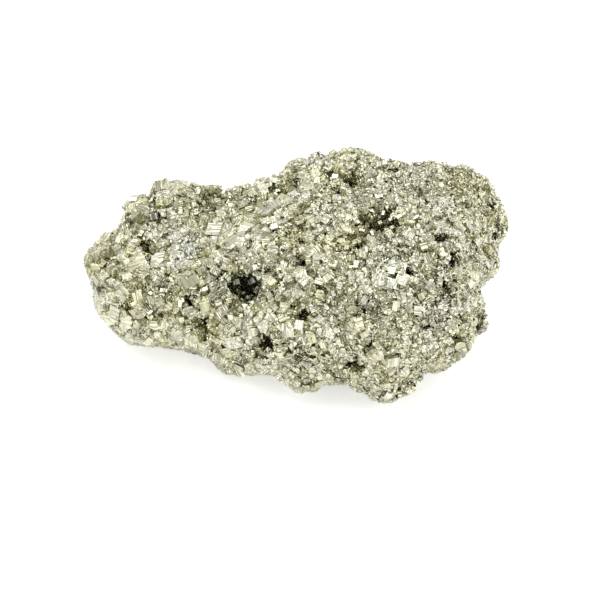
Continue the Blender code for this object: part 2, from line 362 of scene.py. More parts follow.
def makeGround(node):
    # Place = even copy of the CAD mass + normal x (swells, lumps, tilted facets, pits), moved
    # to the outline, and pushed away from the eye in the vugs.
    mesh = mergedCopy(node)
    piece = bpy.data.objects.new("ground", mesh)
    scene.collection.objects.link(piece)
    remesh = piece.modifiers.new("even", "REMESH")
    remesh.mode = "VOXEL"
    remesh.voxel_size = ground["voxel"]
    bpy.context.view_layer.update()
    graph = bpy.context.evaluated_depsgraph_get()
    even = bpy.data.meshes.new_from_object(piece.evaluated_get(graph))
    piece.modifiers.clear()
    piece.data = even
    even.name = "ground"
    even.shade_flat()
    places, normals = meshArrays(even)
    free = smoothStep(0.0, ground["stillBelow"], places[:, 2])
    # Broad swells, stronger on the sides that face away from the eye.
    hidden = smoothStep(0.35, -0.15, normals @ toEye)
    swell = np.zeros(len(places))
    for key, (pitch, depth, unseen) in enumerate(ground["swells"]):
        swell += (depth * (1 - hidden) + unseen * hidden) * valueNoise(places, pitch, 21 + key)
    places += normals * (swell * smoothStep(0.0, ground["swellAbove"], places[:, 2]))[:, None]
    places += reachOutline(places) * free[:, None]
    rise = np.full(len(places), -ground["sunk"])
    for key, (pitch, depth) in enumerate(ground["lumps"]):
        rise += depth * valueNoise(places, pitch, 11 + key)
    # Each cell of the ground is a plane tilted its own way.
    cell, toSeed = nearestCell(places, ground["facetPitch"], 71)
    lean = np.stack([hashed(cell, 81 + k) for k in range(3)], axis=1) * 2 - 1
    rise += ground["facetTilt"] * (toSeed * lean).sum(axis=1)
    rise -= ground["pitDepth"] * pitShare(places, normals)
    sink, steep = np.zeros(len(places)), ground["vugWall"]
    for reach, deep in vugReach(places, normals):
        sink = np.maximum(sink, deep * mm * np.clip(steep - steep * reach, 0, 1))
    moved = places + normals * (rise * free)[:, None] - toEye * (sink * free)[:, None]
    moved[:, 2] = np.maximum(moved[:, 2], 0)
    even.vertices.foreach_set("co", moved.astype(np.float32).ravel())
    even.update()
    print("ground:", len(even.polygons), "faces")
    return piece, places, normals


groundPiece, skinPlaces, skinNormals = makeGround(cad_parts["pyrite_cluster"])


# Crystal forms: a cross-section carried up a short path. Each ring is (height, half width
# across, half width along) of a crystal of edge 2; a tip or tail closes the path in a point.
forms = {
    "shard": {"count": 3, "rings": [(-0.7, 1.3, 1.3)], "tip": 1.1},
    "octahedron": {"rings": [(0, 1.3, 1.3)], "tip": 1.1, "tail": -1.1},
    "cube": {"rings": [(-1, 1, 1), (1, 1, 1)]},
    "wedge": {"rings": [(-1, 1, 1), (0.45, 1, 1), (1.0, 0.95, 0.3)]},
    "roofed": {"rings": [(-1, 0.9, 0.9), (-0.2, 1, 1), (0.6, 1, 0.95), (1, 0.4, 0.75)]},
    "chamfered": {"cut": 0.22, "rings": [(-1, 0.8, 0.8), (-0.8, 1, 1), (0.8, 1, 1), (1, 0.8, 0.8)]},
    "stepped": {
        "rings": [
            (-1, 1, 1), (0.4, 1, 1), (0.42, 0.86, 0.9), (0.7, 0.86, 0.9), (0.72, 0.6, 0.78), (1, 0.6, 0.78),
        ],
    },
    "striated": {
        "rings": [
            (-1, 0.95, 0.95), (-0.66, 1, 1), (-0.62, 0.93, 0.93), (-0.38, 0.98, 0.98), (-0.34, 0.91, 0.91),
            (-0.1, 0.96, 0.96), (-0.04, 1, 1), (0.2, 0.94, 0.94), (0.24, 1, 1), (0.5, 0.93, 0.93),
            (0.56, 1, 1), (0.8, 0.95, 0.95), (0.84, 1, 1), (1, 0.97, 0.97),
        ],
    },
}


def pyritohedron():
    # Twelve pentagons: each has an edge (0, +-(1 + h), +-(1 - h^2)), two corners of the
    # cube and a corner (+-(1 + h), +-(1 - h^2), 0), repeated round the three axes.
    h = 0.42
    places = []
    for turn in range(3):
        for up in (1, -1):
            for side in (1, -1):
                five = [(0, up * (1 + h), 1 - h * h), (side, up, 1), (side * (1 + h), up * (1 - h * h), 0),
                        (side, up, -1), (0, up * (1 + h), h * h - 1)]
                places += [np.roll(p, turn) / (1 + h) * 1.15 for p in five[::side * up]]
    return np.array(places, float), np.arange(60), np.full(12, 5)


def formArrays(name):
    # Place = cross-section x ring's half widths, at the ring's height; rings are joined
    # by quads, and the ends closed by the section itself or by a point.
    if name == "pyritohedron":
        return pyritohedron()
    form = forms[name]
    cut = form.get("cut", 0)
    near = 1 - cut
    if cut:
        section = [(1, -near), (1, near), (near, 1), (-near, 1)]
        section += [(-x, -y) for x, y in section]
    elif form.get("count") == 3:
        section = [(1, -0.5), (0, 1), (-1, -0.5)]
    elif "tail" in form:
        section = [(1, 0), (0, 1), (-1, 0), (0, -1)]
    else:
        section = [(1, -1), (1, 1), (-1, 1), (-1, -1)]
    section = np.array(section, float)
    rings = np.array(form["rings"], float)
    count = len(section)
    wide = section[None, :, :] * rings[:, None, 1:]
    tall = np.broadcast_to(rings[:, None, :1], (len(rings), count, 1))
    places = np.concatenate([wide, tall], axis=2).reshape(-1, 3)
    here = np.arange(count)
    after = (here + 1) % count
    first = np.arange(len(rings) - 1)[:, None] * count
    sides = np.stack([first + here, first + after, first + count + after, first + count + here], axis=2)
    faces = [list(side) for side in sides.reshape(-1, 4)]
    last = (len(rings) - 1) * count
    if "tip" in form:
        faces += [[last + i, last + j, len(places)] for i, j in zip(here, after)]
        places = np.vstack([places, [0, 0, form["tip"]]])
    else:
        faces.append(list(last + here))
    if "tail" in form:
        faces += [[j, i, len(places)] for i, j in zip(here, after)]
        places = np.vstack([places, [0, 0, form["tail"]]])
    else:
        faces.append(list(here[::-1]))
    return places, np.concatenate(faces), np.array([len(face) for face in faces])


def facetMap(places, corners, sizes):
    # Per corner, the place along and across the facet's striations, which run
    # round the crystal on its sides and one way on its ends.
    starts = np.cumsum(sizes) - sizes
    face = np.repeat(np.arange(len(sizes)), sizes)
    at = places[corners]
    first, second, third = at[starts], at[starts + 1], at[starts + 2]
    normal = np.cross(second - first, third - second)
    normal /= np.linalg.norm(normal, axis=1)[:, None]
    flat = np.abs(normal[:, 2]) > 0.9
    along = np.where(flat[:, None], [1.0, 0.0, 0.0], np.cross([0.0, 0.0, 1.0], normal))
    along /= np.linalg.norm(along, axis=1)[:, None]
    across = np.cross(normal, along)
    u = np.einsum("ij,ij->i", at, along[face])
    v = np.einsum("ij,ij->i", at, across[face])
    return np.stack([u, v], axis=1), face


# What each face carries, all 0..1, and how far the faces of one crystal differ. The last of them is painted
# shade.
faceLabels = {"tone": 0.14, "age": 0.15, "etch": 0, "hue": 0, "dark": 0}
bakeMargin = 0.18  # of each facet's square in the map for a bake


def crystalPiece(name, groups, random):
    # All the crystals of the groups as one joined mesh, each a copy of its form
    # scaled to its edges, turned and moved to its middle.
    arrays = {key: [] for key in ("places", "corners", "sizes", "map", "bake", *faceLabels)}
    base = 0
    for group in groups:
        count = len(group["middles"])
        if not count:
            continue
        places, corners, sizes = formArrays(group["form"])
        uv, face = facetMap(places, corners, sizes)
        scaled = places[None] * (group["edges"] / 2)[:, None, :]
        moved = np.einsum("nij,nkj->nki", group["turns"], scaled) + group["middles"][:, None, :]
        offsets = base + np.arange(count)[:, None] * len(places)
        base += count * len(places)
        arrays["places"].append(moved.reshape(-1, 3))
        arrays["corners"].append((corners[None] + offsets).reshape(-1))
        arrays["sizes"].append(np.tile(sizes, count))
        halfSize = group["edges"].mean(axis=1)[:, None, None] / 2 / mm
        shift = random.uniform(0, 50, (count, 1, 2))
        arrays["map"].append((uv[None] * halfSize + shift).reshape(-1, 2))
        low = np.full((len(sizes), 2), 1e9)
        high = -low
        np.minimum.at(low, face, uv)
        np.maximum.at(high, face, uv)
        inCell = (uv - low[face]) / np.maximum(high - low, 1e-6)[face]
        arrays["bake"].append(np.tile(inCell, (count, 1)))
        for label, spread in faceLabels.items():
            own = group[label][:, None] + random.normal(0, 1, (count, len(sizes))) * spread
            arrays[label].append(np.clip(own, 0, 1).reshape(-1))
    joined = {key: np.concatenate(value) for key, value in arrays.items()}
    places = joined["places"]
    places[:, 2] = np.maximum(places[:, 2], 0)
    sizes = joined["sizes"]
    mesh = bpy.data.meshes.new(name)
    mesh.vertices.add(len(places))
    mesh.vertices.foreach_set("co", places.astype(np.float32).ravel())
    mesh.loops.add(len(joined["corners"]))
    mesh.loops.foreach_set("vertex_index", joined["corners"].astype(np.int32))
    mesh.polygons.add(len(sizes))
    mesh.polygons.foreach_set("loop_start", (np.cumsum(sizes) - sizes).astype(np.int32))
    mesh.update(calc_edges=True)
    mesh.shade_flat()
    facet = mesh.uv_layers.new(name="facet", do_init=False)
    facet.uv.foreach_set("vector", joined["map"].astype(np.float32).ravel())
    # The map for a bake: each facet has a small square of it.
    row = int(np.ceil(np.sqrt(len(sizes))))
    face = np.repeat(np.arange(len(sizes)), sizes)
    cell = np.stack([face % row, face // row], axis=1)
    bake = mesh.uv_layers.new(name="OFBake", do_init=False)
    inSquare = joined["bake"] * (1 - 2 * bakeMargin) + bakeMargin
    bake.uv.foreach_set("vector", ((cell + inSquare) / row).astype(np.float32).ravel())
    for label in faceLabels:
        layer = mesh.attributes.new(label, "FLOAT", "FACE")
        layer.data.foreach_set("value", joined[label].astype(np.float32))
    grown = sum(len(group["middles"]) for group in groups)
    print(name + ":", grown, "crystals,", int((sizes - 2).sum()), "triangles")
    piece = bpy.data.objects.new(name, mesh)
    scene.collection.objects.link(piece)
    return piece


def surfaceSamples(mesh, spacing, random, tries=6):
    # Points spread by area on the ground's triangles, then at most one kept in each
    # cubic cell, each with its place and normal on the skin that the ground sank from.
    mesh.calc_loop_triangles()
    places, _ = meshArrays(mesh)
    index = np.empty(len(mesh.loop_triangles) * 3, np.int32)
    mesh.loop_triangles.foreach_get("vertices", index)
    index = index.reshape(-1, 3)
    a, b, c = places[index].transpose(1, 0, 2)
    normal = np.cross(b - a, c - a)
    area = np.linalg.norm(normal, axis=1) / 2
    count = int(tries * area.sum() / spacing**2)
    pick = random.choice(len(area), count, p=area / area.sum())
    u, v = random.random((2, count))
    flip = u + v > 1
    u, v = np.where(flip, 1 - u, u), np.where(flip, 1 - v, v)
    share = np.stack([1 - u - v, u, v], axis=1)
    points, skin, smooth = (
        np.einsum("nk,nkj->nj", share, values[index[pick]]) for values in (places, skinPlaces, skinNormals)
    )
    cells = np.floor(points / spacing).astype(np.int64)
    _, first = np.unique(cells, axis=0, return_index=True)
    smooth /= np.linalg.norm(smooth, axis=1)[:, None]
    own = normal[pick] / (2 * area[pick, None] + 1e-20)
    return points[first], own[first], skin[first], smooth[first]


# The layers of crystals, in mm. Tops are above the ground for the grains and above the
# skin for the rest; sizes go by 1 x the first + coarseness x the second; forms have the
# share of each.
crystals = {
    "fineGrains": {
        "onGround": True, "pieces": 3, "spacing": 0.57, "edges": (0.78, 1.75), "sizes": (0.85, 0),
        "tops": (0.10, 0.50), "jitter": 0.25, "etch": 0.55,
        "forms": {"cube": 0.35, "shard": 0.35, "octahedron": 0.15, "pyritohedron": 0.15},
    },
    "mediumCrystals": {
        "share": 0.85, "spacing": 1.4, "edges": (1.3, 2.3), "sizes": (0.72, 0.38),
        "tops": (-0.30, 0.50), "jitter": 0.15, "etch": 0.35,
        "forms": {
            "cube": 0.25, "pyritohedron": 0.3, "wedge": 0.15, "roofed": 0.15, "chamfered": 0.1,
            "stepped": 0.05,
        },
    },
    "platedCrystals": {
        "share": 0.45, "spacing": 2.2, "edges": (1.6, 2.6), "sizes": (0.72, 0.38),
        "tops": (-0.30, 0.40), "jitter": 0.15, "etch": 0.2,
        "plates": 5, "plateRise": 0.07, "plateThick": 0.98, "plateTone": 0.12,
        "forms": {"cube": 1.0},
    },
    "coarseCrystals": {
        "share": 0.85, "spacing": 2.4, "edges": (1.8, 3.0), "sizes": (0.72, 0.38),
        "tops": (-0.10, 0.70), "jitter": 0.1, "etch": 0.2,
        "forms": {"cube": 0.25, "pyritohedron": 0.3, "chamfered": 0.15, "stepped": 0.15, "striated": 0.15},
    },
}

# How the random crystals lie.
growth = {
    "coarseEnds": (-14 * mm, 14 * mm),      # from here to there it falls
    "coarseFall": 0.8,
    "coarsePatches": (0.35, 7 * mm),        # how strong, and how wide
    "coarseMost": 1.2,
    "aboveFloor": 0.25 * mm,
    "proportions": ((0.55, 0.8, 0.9), (1.0, 1.2, 1.5)),     # least and most of the three edges
    "stepCell": 2.5 * mm,           # within such a cell most are turned nearly alike
    "alike": 0.85,                  # and this is how many
    "liningSmaller": 0.4,           # those that line a vug or a pit
    "vugClear": 0.7,                # reach in a vug's ellipse below which no large crystal stands,
    "deepVugClear": 1.1,            # the same for a deep vug,
    "vugUneven": 0.6,               # and how much more it is for some
    "deepVug": 3.9,                 # mm
    "clearOfSingles": (0.45, 2.5),  # share of a listed crystal's size, and pixels more
    "pastOutline": 1.6,             # pixels
}

# How they look, all 0..1.
habit = {
    "hue": 0.47, "huePatches": 0.15, "hueSpread": 0.06, "hueMost": 0.72,
    "silver": 0.4,
    "tone": 0.72, "tonePatches": 0.06, "toneSpread": 0.15, "toneByTop": 0.4,
    "etchPatches": 0.5,
    # Painted shade on the crystals: how much in the pits, the random share of it that each takes, and the vug
    # depth that gives all of it.
    "pitShade": 0.9, "shadeShare": (0.25, 0.85), "shadeVugDepth": 3.5,      # mm deep
    "shadePatchLimit": -0.3, "patchShade": 2.2,      # a change of tone below which a patch is dark, and how much painted shade a fall of tone gives
    "unshadedShare": 0.5, "unshadedTone": 0.25,   # crystals that take no painted shade in a patch, and the tone they get in a dark one
}

# Patches of another look: pixel across, pixel down, radius in pixels, then the change of hue (below 0 silver,
# above 0 yellow), of tone and of etching. The changes of tone are partly painted light and shade: wide
# patches make whole regions lighter or darker, and a fall of tone also puts painted shade on the crystals.
patches = [
    (168, 240, 11, -0.5, 0.05, 0.6), (188, 250, 11, -0.6, 0.05, 0.7), (180, 266, 9, -0.4, 0.05, 0.5),
    (385, 262, 14, -0.25, 0.22, 0.6), (445, 205, 14, -0.1, 0.17, 0.5), (447, 305, 10, -0.25, 0.22, 0.6),
    (395, 288, 10, -0.25, 0.17, 0.5), (300, 200, 9, -0.3, 0.22, 0.5), (410, 190, 13, -0.1, 0.17, 0.5),
    (372, 300, 9, -0.2, 0.17, 0.4), (258, 250, 8, -0.3, 0.17, 0.4), (215, 240, 9, -0.3, 0.22, 0.4),
    (150, 285, 8, -0.2, 0.17, 0.4), (440, 320, 10, -0.2, 0.17, 0.5), (318, 160, 10, -0.3, 0.17, 0.4),
    (97, 258, 22, 0.1, -0.27, 0), (112, 255, 9, 0.15, -0.5, 0), (101, 283, 8, 0.1, -0.3, 0),
    (203, 322, 9, 0.15, -0.4, 0), (191, 301, 7, 0.1, -0.4, 0), (372, 222, 26, 0.1, -0.42, -0.2),
    (150, 245, 10, 0.2, -0.4, 0), (293, 238, 14, 0.08, 0.08, 0.4), (330, 245, 11, 0.2, 0, 0.2),
    (284, 187, 16, 0.1, -0.5, 0), (355, 188, 13, 0.1, -0.08, 0), (265, 342, 10, 0.15, -0.4, 0),
    (236, 305, 10, 0.2, -0.45, 0), (345, 300, 15, 0.05, -0.25, 0), (300, 212, 11, 0.25, -0.2, 0),
    (350, 246, 14, 0.1, -0.4, 0), (262, 232, 9, 0, -0.35, 0), (470, 260, 12, 0.1, -0.15, 0),
    (436, 364, 20, 0.1, 0.15, 0.2), (345, 163, 34, 0, 0.16, 0), (310, 332, 48, 0, 0.18, 0),
    (395, 345, 48, 0, 0.14, 0), (155, 205, 34, 0.03, -0.16, 0), (470, 195, 26, 0.05, 0.03, 0.2),
    (370, 205, 40, 0, 0.08, 0), (220, 222, 24, 0, -0.08, 0), (350, 295, 40, 0, 0.08, 0),
    (289, 348, 3, 3, 0, 0.2), (160, 300, 52, 0, 0.03, -0.35), (458, 341, 12, 0.05, 0.15, 0),
    (250, 360, 24, 0.05, 0.12, 0.2), (88, 265, 6, 0.08, 0.1, 0),
]


def coarseness(points):
    # 1 at the low left end, falling by a smooth step to 0.2 on the right, with patches.
    byPlace = 1 - smoothStep(*growth["coarseEnds"], points[:, 0]) * growth["coarseFall"]
    amount, pitch = growth["coarsePatches"]
    return np.clip(byPlace + amount * valueNoise(points, pitch, 51), 0, growth["coarseMost"])


def crystalLooks(points, skin, smooth, etchBase, random):
    # Tone, age (roughness), etching, hue and painted shade by crystal: each is its own level, plus noise by
    # place, plus a random part, plus the change of the patches round it.
    count = len(points)
    across, down = toPixels(points)
    front = smoothStep(0.0, 0.2, smooth @ toEye)
    silver = np.clip(2.0 * valueNoise(points, 4.0 * mm, 62) - 0.9, 0, 1) * (1 - front)
    hue = habit["hue"] + habit["huePatches"] * valueNoise(points, 5 * mm, 64)
    hue = hue + random.normal(0, habit["hueSpread"], count) - habit["silver"] * silver
    tone = habit["tone"] + habit["tonePatches"] * valueNoise(points, 4 * mm, 61)
    tone = tone + random.normal(0, habit["toneSpread"], count)
    etch = etchBase + habit["etchPatches"] * (valueNoise(points, 3 * mm, 63) + silver)
    # Painted shade: crystals in the pits are darker.
    dark = habit["pitShade"] * pitShare(skin, smooth)
    unshaded = random.random(count) < habit["unshadedShare"]
    for x, y, radius, hueChange, toneChange, etchChange in patches:
        share = front * smoothStep(1.25, 0.5, np.hypot(across - x, down - y) / radius)
        hue += hueChange * share
        tone += np.where(unshaded & (toneChange < habit["shadePatchLimit"]), habit["unshadedTone"], toneChange) * share
        etch += etchChange * share
        # A fall of tone puts painted shade on all but the unshaded crystals.
        dark = np.maximum(dark, -habit["patchShade"] * toneChange * share * ~unshaded)
    # Painted shade in the vugs, more of it in the deeper ones.
    for reach, deep in vugReach(skin, smooth):
        dark = np.maximum(dark, np.clip(1.2 - reach, 0, 1) * min(1, deep / habit["shadeVugDepth"]))
    dark *= random.uniform(*habit["shadeShare"], count)
    # Only the rusty fleck goes past yellow.
    hue = np.where(hue > 2.0, 1, np.clip(hue, 0, habit["hueMost"]))
    age = random.random(count) ** 1.3
    return {"tone": tone, "age": age, "etch": np.clip(etch, 0, 1), "hue": hue, "dark": dark}


def underSingles(points, smooth):
    # True where one of the listed crystals will stand.
    across, down = toPixels(points)
    taken = np.zeros(len(points), bool)
    share, margin = growth["clearOfSingles"]
    for x, y, wide, tall, *_ in singles:
        taken |= np.hypot(across - x, down - y) < share * max(wide, tall) + margin
    return taken & (smooth @ toEye > 0)


def keepClear(layer, points, skin, smooth, random):
    # Fewer of the larger crystals to the right, none under a listed crystal, and few in
    # the vugs: their reach is over a limit that differs from crystal to crystal.
    kept = random.random(len(points)) < coarseness(points) * layer["share"]
    kept &= ~underSingles(skin, smooth)
    uneven = growth["vugUneven"] * random.uniform(0, 1, len(points))
    for reach, deep in vugReach(skin, smooth):
        kept &= reach > growth["deepVugClear" if deep > growth["deepVug"] else "vugClear"] + uneven
    return kept


def growLayer(layer, mesh, random):
    # Middle = root + normal x (top - reach), where reach is the crystal's highest corner
    # along the normal; the root is on the ground for the grains, on the skin for the rest.
    points, normals, skin, smooth = surfaceSamples(mesh, layer["spacing"] * mm, random)
    kept = points[:, 2] > growth["aboveFloor"]
    if "onGround" in layer:
        roots, normals = points, normals + smooth
        normals /= np.linalg.norm(normals, axis=1)[:, None]
    else:
        roots, normals = skin, smooth
        kept &= keepClear(layer, points, skin, smooth, random)
    points, roots, normals, skin, smooth = (a[kept] for a in (points, roots, normals, skin, smooth))
    lining = pitShare(skin, smooth)
    for reach, _ in vugReach(skin, smooth):
        lining = np.maximum(lining, smoothStep(1.3, 0.9, reach))
    count = len(points)
    low, high = layer["edges"]
    edge = (low + (high - low) * random.random(count) ** 1.5) * (1 - growth["liningSmaller"] * lining) * mm
    edge *= layer["sizes"][0] + layer["sizes"][1] * coarseness(points)
    edges = edge[:, None] * random.uniform(*growth["proportions"], (count, 3))
    # Most of the crystals in a cell are turned nearly alike, as steps of one crystal.
    cell, _ = nearestCell(points, growth["stepCell"], 101)
    together = cellTurns(cell, 111)
    together /= np.linalg.norm(together, axis=1)[:, None]
    free = random.normal(size=(count, 4))
    jitter = random.normal(0, layer["jitter"] / 2, (count, 4))
    alike = random.random(count) < growth["alike"]
    turns = turnsFrom(np.where(alike[:, None], together + jitter, free))
    tops = random.uniform(*layer["tops"], count) * mm
    look = crystalLooks(points, skin, smooth, layer["etch"], random)
    # Painted light and shade: crystals that stand higher are lighter, and lower ones darker.
    look["tone"] += habit["toneByTop"] * (tops / mm - np.mean(layer["tops"]))
    kind = random.choice(len(layer["forms"]), count, p=list(layer["forms"].values()))
    groups = []
    for number, form in enumerate(layer["forms"]):
        mine = kind == number
        scaled = formArrays(form)[0][None] * (edges[mine] / 2)[:, None, :]
        reach = np.einsum("nij,nkj,ni->nk", turns[mine], scaled, normals[mine]).max(axis=1)
        middles = roots[mine] + normals[mine] * (tops[mine] - reach)[:, None]
        own = {key: value[mine] for key, value in look.items()}
        own.update(middles=middles, turns=turns[mine], edges=edges[mine])
        if "plates" in layer:
            own = intoPlates(own, normals[mine], layer, random)
        groups.append({"form": form, **own})
    return groups


def intoPlates(group, normals, layer, random):
    # Each crystal becomes a row of parallel plates along its first axis, at uneven heights:
    # middle + axis x edge x (number + 1/2 - half the count) / count + normal x a random rise.
    plates = layer["plates"]
    count = len(group["middles"])
    own = {key: np.repeat(value, plates, axis=0) for key, value in group.items()}
    step = (np.tile(np.arange(plates), count) + 0.5) / plates - 0.5
    along = own["turns"][:, :, 0] * (step * own["edges"][:, 0])[:, None]
    rise = random.normal(0, layer["plateRise"] * mm, count * plates)[:, None]
    own["middles"] = own["middles"] + along + rise * np.repeat(normals, plates, axis=0)
    thin = np.array([layer["plateThick"] / plates, 1, 1])
    own["edges"] = own["edges"] * thin * random.uniform(0.85, 1.0, (count * plates, 3))
    own["tone"] = own["tone"] + random.normal(0, layer["plateTone"], count * plates)
    return own


def drawBack(groups, allowed, most=12):
    # What passes the outline by more than the allowed pixels moves back into the mass:
    # move = largest of (radius - wanted radius) over its corners, and never over most.
    for group in groups:
        scaled = formArrays(group["form"])[0][None] * (group["edges"] / 2)[:, None, :]
        corners = np.einsum("nij,nkj->nki", group["turns"], scaled) + group["middles"][:, None, :]
        angle, radius = roundMiddle(corners.reshape(-1, 3))
        past = (radius - wantedRadius(angle)).reshape(len(corners), -1).max(axis=1) - allowed
        angle, _ = roundMiddle(group["middles"])
        group["middles"] = group["middles"] - inView(angle, np.clip(past, 0, most))
    return groups


def slices(groups, start, step):
    # Every step-th crystal of each group, from the one numbered start.
    return [{key: value if key == "form" else value[start::step] for key, value in g.items()} for g in groups]
